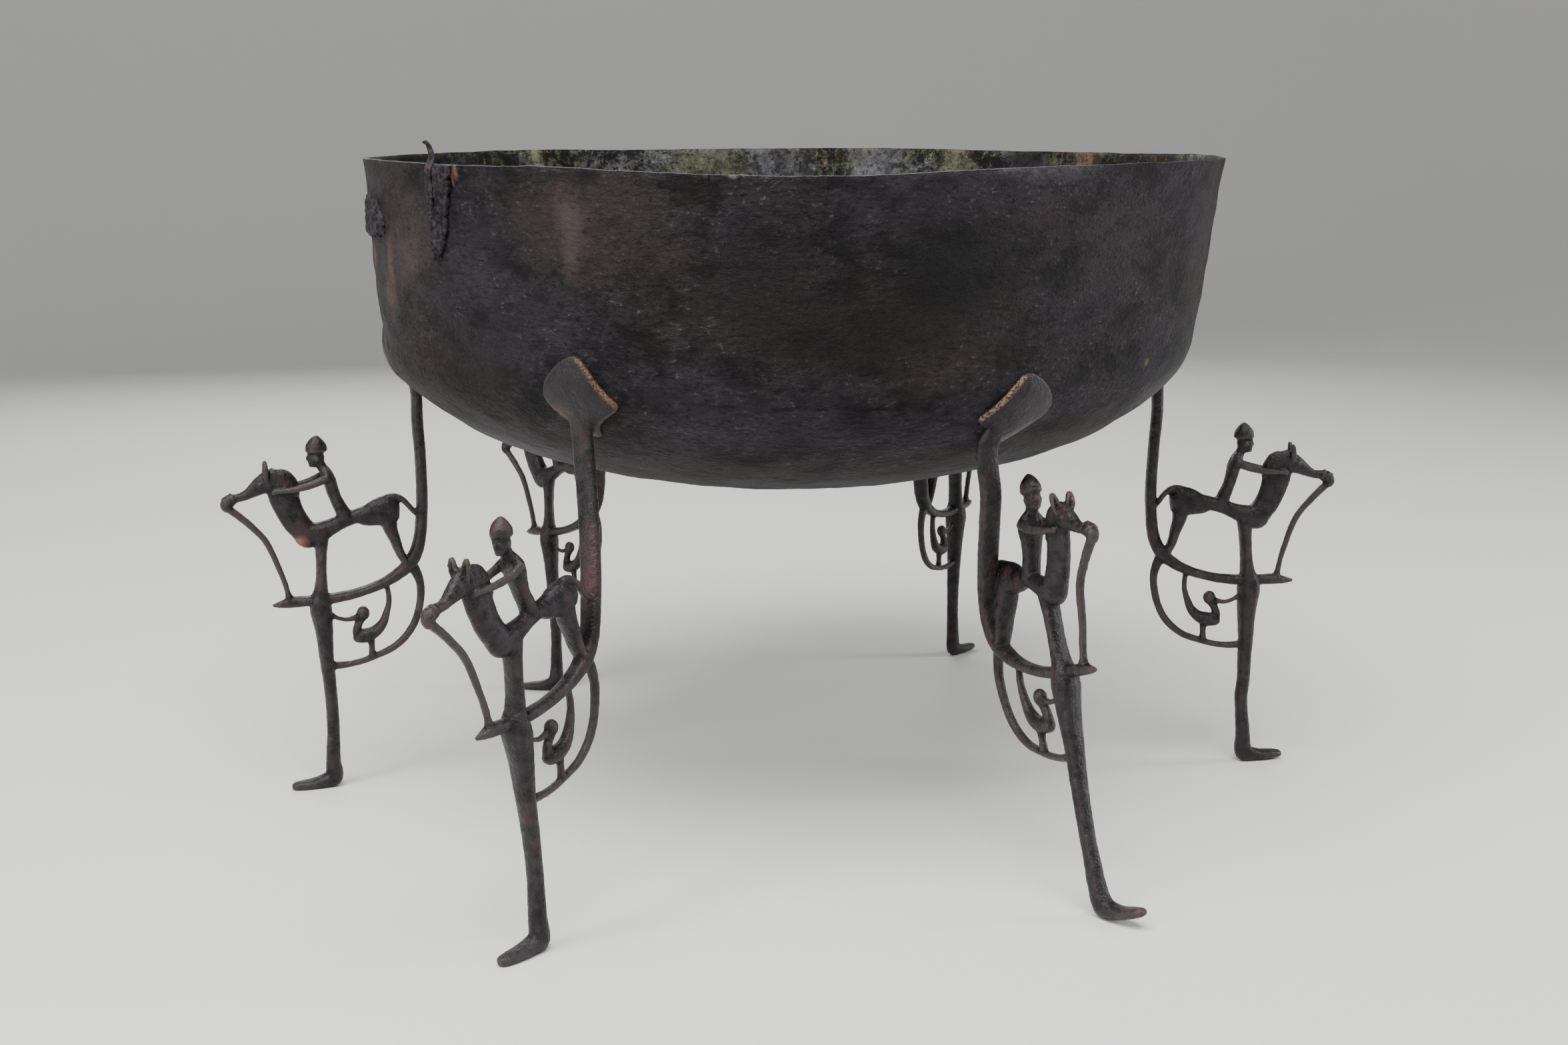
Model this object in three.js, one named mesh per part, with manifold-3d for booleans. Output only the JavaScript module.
// A large bronze basin on six cast legs. Each leg is one casting: a plate on the basin, a flat
// stem, a bar, a horse with its rider, a rein, a bird in a curved brace, a shank and a foot.
// Millimetres, +Z up, floor at z = 0. The legs are placed around the basin's axis, and the whole
// is moved sideways at the end so that the middle of its box is over the origin.
import * as THREE from 'three';
import { mergeVertices } from 'three/addons/utils/BufferGeometryUtils.js';
import Module from 'manifold-3d';

const wasm = await Module();
wasm.setup();

// Driving sizes of the basin
const RIM_RADIUS = 300;
const RIM_HEIGHT = 455;
const SHOULDER_RADIUS = 281;
const SHOULDER_HEIGHT = 335;
const BOTTOM_HEIGHT = 224;
const WALL = 2.5;
const REAR_RISE = 13;
const RIM_SHIFT = 4;
// Where the wall is fuller than a true circle: angle, half width of the place, millimetres outward
const FULL_SIDES = [[192, 60, 7.5], [350, 50, 2]];
const FULL_LEVELS = { start: [280, 318], end: [365, 455] };
// Where the rim's edge rises or sinks: angle, half width of the place, millimetres upward
const RIM_WAVES = [[205, 62, 4], [145, 45, 2.2], [272, 22, -2.6], [312, 32, 1.8], [37, 45, -2.4]];
const WAVE_START = 395;
const TURNS = 36;
const WALL_RINGS = 2;
const BOTTOM_RINGS = 6;
const TOUCH_GAP = 0.35;

const deg = THREE.MathUtils.degToRad;
const lerp = THREE.MathUtils.lerp;
const smoothstep = THREE.MathUtils.smoothstep;
const vec = (x, y, z) => new THREE.Vector3(x, y, z);

// Basin surface: a gently tapered wall over a quarter ellipse
function profile(along) {
  // along runs from 0 at the middle of the bottom to 1 at the shoulder and 2 at the rim
  if (along <= 1) {
    const angle = along * Math.PI / 2;
    return [SHOULDER_RADIUS * Math.sin(angle),
      SHOULDER_HEIGHT - (SHOULDER_HEIGHT - BOTTOM_HEIGHT) * Math.cos(angle)];
  }
  return [lerp(SHOULDER_RADIUS, RIM_RADIUS, along - 1), lerp(SHOULDER_HEIGHT, RIM_HEIGHT, along - 1)];
}

function profileNormal(along) {
  const step = 0.001;
  const [r0, z0] = profile(Math.max(along - step, 0));
  const [r1, z1] = profile(Math.min(along + step, 2));
  const length = Math.hypot(r1 - r0, z1 - z0);
  return [(z1 - z0) / length, -(r1 - r0) / length];
}

// The sum of soft swellings round the basin at an angle in radians
function swelling(places, angle) {
  let sum = 0;
  for (const [centre, halfWidth, size] of places) {
    const away = Math.abs(THREE.MathUtils.euclideanModulo(angle / deg(1) - centre + 180, 360) - 180);
    if (away < halfWidth) sum += size * Math.cos(away / halfWidth * Math.PI / 2) ** 2;
  }
  return sum;
}

// The hammered sheet isn't true: it stands a little higher at the rear, its rim sits a little to the
// right and waves up and down, and its lower wall is fuller at the left
function unevenBasin(angle, radius, height) {
  const share = (height - BOTTOM_HEIGHT) / (RIM_HEIGHT - BOTTOM_HEIGHT);
  const full = smoothstep(height, ...FULL_LEVELS.start) * (1 - smoothstep(height, ...FULL_LEVELS.end));
  const reach = radius + full * swelling(FULL_SIDES, angle);
  const y = reach * Math.sin(angle);
  const wave = smoothstep(height, WAVE_START, RIM_HEIGHT) * swelling(RIM_WAVES, angle);
  return vec(reach * Math.cos(angle) + RIM_SHIFT * share, y,
    height + REAR_RISE * share * y / RIM_RADIUS + wave);
}

// A point on the basin's outer surface, or a distance out from it
function onBasin(angle, along, out = 0) {
  const [r, z] = profile(along);
  const [nr, nz] = profileNormal(along);
  return unevenBasin(angle, r + nr * out, z + nz * out);
}

// The profile parameter at a length measured up the surface from its bottom middle
const ARC_STEPS = 400;
const arcTable = [0];
for (let i = 1; i <= ARC_STEPS; i++) {
  const [r0, z0] = profile(2 * (i - 1) / ARC_STEPS);
  const [r1, z1] = profile(2 * i / ARC_STEPS);
  arcTable.push(arcTable[i - 1] + Math.hypot(r1 - r0, z1 - z0));
}
function alongAtArc(arc) {
  let i = 1;
  while (i < ARC_STEPS && arcTable[i] < arc) i++;
  return 2 * (i - 1 + (arc - arcTable[i - 1]) / (arcTable[i] - arcTable[i - 1])) / ARC_STEPS;
}
function arcAtHeight(height) {
  let i = 1;
  while (profile(2 * i / ARC_STEPS)[1] < height) i++;
  return arcTable[i];
}

// Solids
function toSolid(geometry) {
  const clean = geometry.clone();
  clean.deleteAttribute('normal');
  clean.deleteAttribute('uv');
  const merged = mergeVertices(clean, 1e-4);
  const build = (indices) => new wasm.Manifold(new wasm.Mesh({
    numProp: 3,
    vertProperties: new Float32Array(merged.attributes.position.array),
    triVerts: new Uint32Array(indices),
  }));
  const indices = Array.from(merged.index.array);
  const solid = build(indices);
  return solid.volume() > 0 ? solid : build(indices.reverse());
}

function toGeometry(solid) {
  const mesh = solid.getMesh();
  const geometry = new THREE.BufferGeometry();
  geometry.setAttribute('position', new THREE.BufferAttribute(Float32Array.from(mesh.vertProperties), 3));
  geometry.setIndex(Array.from(mesh.triVerts));
  geometry.computeVertexNormals();
  return geometry;
}

function indexedGeometry(points, triangles) {
  const geometry = new THREE.BufferGeometry();
  geometry.setAttribute('position',
    new THREE.BufferAttribute(new Float32Array(points.flatMap((p) => [p.x, p.y, p.z])), 3));
  geometry.setIndex(triangles);
  return geometry;
}

// A tapering rod with an oval section through a few joints. Each joint is
// [place, deep, wide]: wide is measured along the side direction, deep across it.
function rod(joints, rings, sides, side = vec(0, 1, 0)) {
  const curve = new THREE.CatmullRomCurve3(joints.map((joint) => joint[0]), false, 'centripetal');
  const points = [];
  for (let ring = 0; ring < rings; ring++) {
    const t = ring / (rings - 1);
    const spot = t * (joints.length - 1);
    const near = Math.min(Math.floor(spot), joints.length - 2);
    const deep = lerp(joints[near][1], joints[near + 1][1], spot - near) / 2;
    const wide = lerp(joints[near][2], joints[near + 1][2], spot - near) / 2;
    const ahead = curve.getTangent(t);
    const across = side.clone().addScaledVector(ahead, -side.dot(ahead)).normalize();
    const inward = ahead.clone().cross(across);
    for (let corner = 0; corner < sides; corner++) {
      const turn = 2 * Math.PI * (corner + 0.5) / sides;
      points.push(curve.getPoint(t)
        .addScaledVector(across, wide * Math.cos(turn))
        .addScaledVector(inward, deep * Math.sin(turn)));
    }
  }
  const triangles = [];
  for (let ring = 0; ring + 1 < rings; ring++) {
    for (let corner = 0; corner < sides; corner++) {
      const a = ring * sides + corner;
      const b = ring * sides + (corner + 1) % sides;
      triangles.push(a, b, a + sides, b, b + sides, a + sides);
    }
  }
  const last = (rings - 1) * sides;
  for (let corner = 1; corner + 1 < sides; corner++) {
    triangles.push(0, corner + 1, corner, last, last + corner, last + corner + 1);
  }
  return toSolid(indexedGeometry(points, triangles));
}

// A curved slab laid on the basin: place(u, v, out) gives its points, u and v from 0 to 1
function wallSlab(columns, rows, place) {
  const points = [];
  const layer = (columns + 1) * (rows + 1);
  for (const outer of [0, 1]) {
    for (let j = 0; j <= rows; j++) {
      for (let i = 0; i <= columns; i++) points.push(place(i / columns, j / rows, outer));
    }
  }
  const at = (i, j, outer) => outer * layer + j * (columns + 1) + i;
  const triangles = [];
  const quad = (a, b, c, d) => triangles.push(a, b, c, a, c, d);
  for (let j = 0; j < rows; j++) {
    for (let i = 0; i < columns; i++) {
      quad(at(i, j, 1), at(i + 1, j, 1), at(i + 1, j + 1, 1), at(i, j + 1, 1));
      quad(at(i, j, 0), at(i, j + 1, 0), at(i + 1, j + 1, 0), at(i + 1, j, 0));
    }
  }
  for (let i = 0; i < columns; i++) {
    quad(at(i, 0, 0), at(i + 1, 0, 0), at(i + 1, 0, 1), at(i, 0, 1));
    quad(at(i + 1, rows, 0), at(i, rows, 0), at(i, rows, 1), at(i + 1, rows, 1));
  }
  for (let j = 0; j < rows; j++) {
    quad(at(0, j + 1, 0), at(0, j, 0), at(0, j, 1), at(0, j + 1, 1));
    quad(at(columns, j, 0), at(columns, j + 1, 0), at(columns, j + 1, 1), at(columns, j, 1));
  }
  return toSolid(indexedGeometry(points, triangles));
}

// The basin is a closed turned profile: outer surface up, flat rim, inner surface down
function basinSolid(grow, hollow) {
  const outer = [];
  const inner = [];
  for (let ring = 0; ring <= BOTTOM_RINGS + WALL_RINGS; ring++) {
    const along = ring <= BOTTOM_RINGS ? ring / BOTTOM_RINGS : 1 + (ring - BOTTOM_RINGS) / WALL_RINGS;
    const [r, z] = profile(along);
    const [nr, nz] = profileNormal(along);
    const onAxis = ring === 0;
    const atRim = along === 2;
    outer.push(new THREE.Vector2(onAxis ? 0 : r + nr * grow, z + nz * grow));
    inner.push(new THREE.Vector2(onAxis ? 0 : r - nr * WALL, atRim ? z : z - nz * WALL));
  }
  const top = outer[outer.length - 1];
  const turned = hollow ? [...outer, ...inner.reverse()] : [...outer, new THREE.Vector2(0, top.y)];
  const geometry = new THREE.LatheGeometry(turned, TURNS);
  const places = geometry.attributes.position;
  for (let i = 0; i < places.count; i++) {
    const radius = Math.hypot(places.getX(i), places.getZ(i));
    const angle = Math.atan2(places.getX(i), places.getZ(i));
    const moved = unevenBasin(angle, radius, places.getY(i));
    places.setXYZ(i, moved.x, moved.y, moved.z);
  }
  return toSolid(geometry);
}

// One leg's casting, in its own upright plane: s outward from the heel, z up, t sideways
const local = (s, z, t = 0) => vec(s, t, z);

function horse() {
  const bodyAndNeck = rod([
    [local(-52, 203), 10, 9], [local(-43, 202), 22, 12], [local(-32, 200), 15, 11],
    [local(-20, 198), 9.5, 10], [local(-6, 192), 12, 12], [local(9, 189), 17, 13],
    [local(20, 200), 16.5, 11], [local(23.5, 213), 18, 9.5], [local(26, 226), 23, 9.5],
    [local(30, 238), 8, 6],
  ], 10, 6);
  const headAndRein = rod([
    [local(31, 230), 16, 9], [local(41, 226), 13, 8.6], [local(49, 221), 6.2, 7],
    [local(57, 219), 5.5, 6.5], [local(64.5, 216), 9, 9.5], [local(62, 209), 5.8, 6],
    [local(50, 199), 4.5, 5.2], [local(38, 183), 4.2, 5], [local(30, 163), 3.8, 4.6],
    [local(25, 141), 5.5, 5],
  ], 10, 5);
  const ears = [-1, 1].map((half) => rod([
    [local(33, 230, 3 * half), 5, 4], [local(34, 238, 5 * half), 5.5, 3.6],
    [local(35.5, 245.5, 6.2 * half), 1.2, 1],
  ], 3, 4));
  const hindLeg = rod([
    [local(-45, 197), 12, 12], [local(-49, 182), 7.6, 13], [local(-58, 160), 6, 11],
  ], 4, 5);
  const tail = rod([
    [local(-46, 210), 5, 5], [local(-58, 208), 4, 4.5], [local(-68, 195), 3.5, 4.5],
  ], 4, 4);
  return [bodyAndNeck, headAndRein, ...ears, hindLeg, tail];
}

function rider() {
  const bodyAndHelmet = rod([
    [local(-16, 199), 10, 10], [local(-10.5, 217), 7, 11], [local(-5.8, 231), 8.8, 17.5],
    [local(-3, 237.5), 6, 6.5], [local(0.8, 242), 11, 9.6], [local(-0.2, 249), 14.4, 12],
    [local(-0.3, 252.5), 14, 11.8], [local(-0.6, 257.5), 9.6, 8.4], [local(-0.8, 262), 3, 3],
  ], 9, 5);
  const arms = [-1, 1].map((half) => rod([
    [local(-5, 231, 7 * half), 5.5, 5], [local(10, 226, 7.6 * half), 4.6, 4.4],
    [local(28, 223.5, 4.2 * half), 3.6, 3.4],
  ], 3, 4));
  return [bodyAndHelmet, ...arms];
}

function bird() {
  const tailToBill = rod([
    [local(-41, 150), 3.4, 4], [local(-42.5, 133), 3.8, 4.8], [local(-37, 118), 6, 7.5],
    [local(-27, 110.5), 10.5, 10], [local(-18.5, 115), 8, 8], [local(-23.5, 122), 6, 6],
    [local(-25, 129), 7.6, 7.6], [local(-17, 125), 3.6, 4.2], [local(-2, 128), 3.2, 3.8],
  ], 9, 5);
  const peg = rod([[local(-28.5, 108), 5, 5], [local(-29.5, 95), 5, 5]], 2, 4);
  return [tailToBill, peg];
}

const brace = () => rod([
  [local(-61, 162), 8, 6], [local(-65.5, 140), 5.4, 5.2], [local(-57, 112.5), 5.3, 5.2],
  [local(-33, 95), 4.8, 5], [local(1, 92), 5.5, 5],
], 7, 4);

// The horse's front legs are one bar, which runs on below it as the shank: narrow at the shin,
// wider at the ankle. A bent shank steps in halfway. The foot turns out along the floor.
const SHANK_STATIONS = [
  [0.5, 190, 12, 13.5], [2, 164, 7.6, 13.4], [4.5, 146, 14, 16], [5, 133, 16.5, 20],
  [3.4, 104, 11.4, 14], [2.4, 70, 9.4, 11], [2, 42, 9, 10], [3.2, 22, 10, 10.2],
];
const BEND_HEIGHT = 60;
const FOOT_STATIONS = [[5, 5.6, 0, 14, 11.5], [16, 3.6, 0.2, 9.6, 12.5], [26, 3, 0.6, 7.6, 10.5]];
const FOOT_LENGTH = 36;

function shankAndFoot(leg, pose) {
  const { heading, raise, tip } = leg.foot;
  const ahead = vec(Math.cos(deg(heading)), Math.sin(deg(heading)), 0);
  const spot = (out, up) => vec(leg.heel[0], leg.heel[1], up).addScaledVector(ahead, out - leg.bend);
  const upper = SHANK_STATIONS.map(([s, z, deep, wide]) => {
    const bent = z > BEND_HEIGHT ? 0 : leg.bend;
    return [local(s - bent, z).applyMatrix4(pose), deep, wide];
  });
  const lower = FOOT_STATIONS.map(([out, up, share, deep, wide]) =>
    [spot(out, up + share * raise), deep, wide]);
  const toe = [spot(FOOT_LENGTH, 2.4 + raise), tip, tip];
  return rod([...upper, ...lower, toe], 12, 6, vec(-ahead.y, ahead.x, 0));
}

// Each leg's own pose: where its heel stands, which way its plane faces and how it leans, where
// its plate sits on the basin, and which way its foot points
const LEGS = {
  left: {
    heel: [-337, -26], heading: 198.6, pitch: 1.2, lean: -3, size: 1.017, bend: 0, twist: 0,
    plate: { angle: 188, height: 313, touch: [184, 300], corner: 1 }, foot: { heading: 198, raise: 0, tip: 3.5 },
  },
  front_left: {
    heel: [-146, -321], heading: 236, pitch: 2.4, lean: 3, size: 0.985, bend: 0, twist: 0,
    plate: { angle: 243.4, height: 312.5, touch: [241.6, 298], corner: 1 }, foot: { heading: 229, raise: 0, tip: 4 },
  },
  front_right: {
    heel: [182, -282], heading: 296.9, pitch: -17.6, lean: -0.3, size: 1.044, bend: 0, twist: -6,
    plate: { angle: 299.9, height: 302, touch: [298.8, 284], corner: -1 }, foot: { heading: 312, raise: 10, tip: 4.5 },
  },
  right: {
    heel: [340, 10], heading: 357.8, pitch: -1.2, lean: 0.5, size: 1.005, bend: 1.5, twist: 0,
    plate: { angle: 357, height: 313, touch: [2.5, 300], corner: -1 }, foot: { heading: 10, raise: 1.5, tip: 7 },
  },
  rear_right: {
    heel: [147, 329], heading: 59.6, pitch: -5.8, lean: 3.6, size: 1.016, bend: 0, twist: 0,
    plate: { angle: 64, height: 311, touch: [64, 289], corner: 1 }, foot: { heading: 48, raise: 1, tip: 7 },
  },
  rear_left: {
    heel: [-206, 226], heading: 134.4, pitch: 5.5, lean: 2.7, size: 0.992, bend: 0, twist: 0,
    plate: { angle: 130, height: 313, touch: [130, 291], corner: -1 }, foot: { heading: 172, raise: 0, tip: 6 },
  },
};

// Above the bar, the horse and its rider may be twisted about the shank's axis
const TWIST_HEIGHTS = [160, 195];
const TWIST_REACH = [-62, -32];

function twisted(figures, twist) {
  return figures.warp((point) => {
    const share = smoothstep(point[2], ...TWIST_HEIGHTS) * smoothstep(point[0], ...TWIST_REACH);
    const turned = vec(point[0], point[1], 0).applyAxisAngle(vec(0, 0, 1), deg(twist) * share);
    point[0] = turned.x;
    point[1] = turned.y;
  });
}

function legPose({ heel, heading, pitch, lean, size }) {
  const pose = new THREE.Matrix4().makeTranslation(heel[0], heel[1], 0);
  pose.multiply(new THREE.Matrix4().makeRotationZ(deg(heading)));
  pose.multiply(new THREE.Matrix4().makeRotationX(deg(lean)));
  pose.multiply(new THREE.Matrix4().makeRotationY(deg(pitch)));
  return pose.multiply(new THREE.Matrix4().makeScale(size, size, size));
}

// The spade-shaped plate, laid on the basin's surface. From its foot to its tip: the share of its
// length, the half width at the side with the corner, and the half width at the rounded side.
const PLATE_OUTLINE = [[0, 7, 7], [0.2, 15, 13], [0.37, 27, 21], [0.57, 20, 25.5], [0.78, 11, 20], [1, 2, 5]];
const PLATE_LENGTH = 60;
const PLATE_THICKNESS = 3.8;
const PLATE_SINK = 2;

function plate({ angle, height, corner }) {
  const [middleRadius] = profile(alongAtArc(arcAtHeight(height)));
  const steps = PLATE_OUTLINE.length - 1;
  return wallSlab(4, steps, (u, v, outer) => {
    const [share, cornered, rounded] = PLATE_OUTLINE[Math.round(v * steps)];
    const sideways = (2 * u - 1) * ((2 * u - 1) * corner > 0 ? cornered : rounded);
    const along = alongAtArc(arcAtHeight(height) + (share - 0.5) * PLATE_LENGTH);
    return onBasin(deg(angle) + sideways / middleRadius, along, outer ? PLATE_THICKNESS : -PLATE_SINK);
  });
}

// The bar ends in a pointed tip past the shank. At its inner end it turns up into the stem,
// which bends toward the basin and ends inside the plate.
const STEM_OUT = 4;
const BAR_STATIONS = [
  [37, 141, 1.8, 1.8], [22, 141, 8, 9.5], [2, 141, 6.8, 10], [-22, 143.4, 6.2, 9.6], [-43, 150, 6.8, 10.5],
];
const STEM_STATIONS = [
  [-60, 162, 9, 12], [-68.5, 187, 8, 13.4], [-69.5, 222, 7.6, 14], [-67.5, 257, 7.8, 14],
];
const STEM_FOOT_HEIGHT = 162;
const STEM_TOP = [-66, 286];

// Degrees from where the stem meets the wall to the middle of the plate
const plateTurn = ({ angle, touch }) => THREE.MathUtils.euclideanModulo(angle - touch[0] + 180, 360) - 180;

function barAndStem(leg, pose, side) {
  const { height, touch: [touchAngle, touchHeight] } = leg.plate;
  const touch = onBasin(deg(touchAngle), alongAtArc(arcAtHeight(touchHeight)), STEM_OUT);
  const inside = onBasin(deg(touchAngle + plateTurn(leg.plate) / 2), alongAtArc(arcAtHeight(height)), 1);
  const drift = touch.clone().sub(local(...STEM_TOP).applyMatrix4(pose));
  const joints = [...BAR_STATIONS, ...STEM_STATIONS].map(([s, z, deep, wide]) => {
    const share = smoothstep(z, STEM_FOOT_HEIGHT, STEM_TOP[1]);
    return [local(s, z).applyMatrix4(pose).addScaledVector(drift, share), deep, wide];
  });
  return rod([...joints, [touch, 7.6, 14.5], [inside, 3.6, 16]], 11, 6, side);
}

const FLOOR_NORMAL = [0, 0, 1];
const SIMPLIFY = 0.8;
const basinSkin = basinSolid(TOUCH_GAP, false);

function legSolid(leg) {
  const pose = legPose(leg);
  const side = vec(0, 1, 0).transformDirection(pose);
  const figures = twisted(wasm.Manifold.union([...horse(), ...rider(), ...bird(), brace()]), leg.twist);
  return wasm.Manifold.union([
    figures.transform(pose.elements), shankAndFoot(leg, pose), barAndStem(leg, pose, side), plate(leg.plate),
  ]).simplify(SIMPLIFY).subtract(basinSkin).trimByPlane(FLOOR_NORMAL, 0);
}

// What is left of a strap and its prong, and a corroded patch, both on the outer wall
const STRAP = { topAngle: 225.2, tipAngle: 222.2, topHeight: 454, tipHeight: 398, thick: 2.6 };
const STRAP_HALF_WIDTHS = [3, 7, 7.2, 7.6, 8.2, 7.8];
const PRONG_ANGLE = 222.7;
const PATCH = { angle: 200.3, lowHeight: 409, highHeight: 432, halfWidth: 27, thick: 4.4 };

const alongAtHeight = (height) => 1 + (height - SHOULDER_HEIGHT) / (RIM_HEIGHT - SHOULDER_HEIGHT);

function strapSolid() {
  const steps = STRAP_HALF_WIDTHS.length - 1;
  const strip = wallSlab(2, steps, (u, v, outer) => {
    const middle = deg(lerp(STRAP.tipAngle, STRAP.topAngle, v));
    const sideways = (2 * u - 1) * STRAP_HALF_WIDTHS[Math.round(v * steps)] / RIM_RADIUS;
    const along = alongAtHeight(lerp(STRAP.tipHeight, STRAP.topHeight, v));
    const rough = 0.7 * Math.sin(7 * u + 11 * v);
    return onBasin(middle + sideways, along, outer ? STRAP.thick + rough : TOUCH_GAP * 2);
  });
  const prongAngle = deg(PRONG_ANGLE);
  const prongSide = vec(-Math.sin(prongAngle), Math.cos(prongAngle), 0);
  const spot = (height, turn) => onBasin(prongAngle + turn, alongAtHeight(height), STRAP.thick);
  const prong = rod([
    [spot(438, -0.004), 2.4, 5.6], [spot(452, 0), 2.6, 5.8], [spot(462, -0.001), 2.4, 5.2],
    [spot(467.5, -0.007), 2, 4.2], [spot(469.5, -0.022), 1.2, 1.6],
  ], 7, 6, prongSide);
  return strip.add(prong).subtract(basinSkin);
}

function patchSolid() {
  return wallSlab(5, 3, (u, v, outer) => {
    const corner = 1 - 0.3 * (2 * v - 1) ** 2;
    const sideways = (2 * u - 1) * PATCH.halfWidth * corner / RIM_RADIUS;
    const along = alongAtHeight(lerp(PATCH.lowHeight, PATCH.highHeight, v));
    const edge = Math.max(Math.abs(2 * u - 1), Math.abs(2 * v - 1));
    const lump = PATCH.thick - 1.6 * edge + 0.5 * Math.sin(9 * u - 5 * v);
    return onBasin(deg(PATCH.angle) + sideways, along, outer ? lump : TOUCH_GAP * 2);
  }).subtract(basinSkin);
}

// Materials
const metal = (color, roughness, metalness) => new THREE.MeshStandardMaterial({ color, roughness, metalness });
const sheetBronze = metal(0x3b3433, 0.62, 0.75);
const castBronze = metal(0x2f2a29, 0.5, 0.8);
const corrodedIron = metal(0x2c2524, 0.9, 0.2);

const group = new THREE.Group();
function add(name, solid, material) {
  const mesh = new THREE.Mesh(toGeometry(solid), material);
  mesh.name = name;
  group.add(mesh);
}

add('basin', basinSolid(0, true), sheetBronze);
for (const [name, leg] of Object.entries(LEGS)) add(`leg_${name}`, legSolid(leg), castBronze);
add('corroded_strap', strapSolid(), corrodedIron);
add('corroded_patch', patchSolid(), corrodedIron);

const box = new THREE.Box3().setFromObject(group);
const middle = box.getCenter(new THREE.Vector3());
for (const mesh of group.children) mesh.geometry.translate(-middle.x, -middle.y, -box.min.z);

export default group;
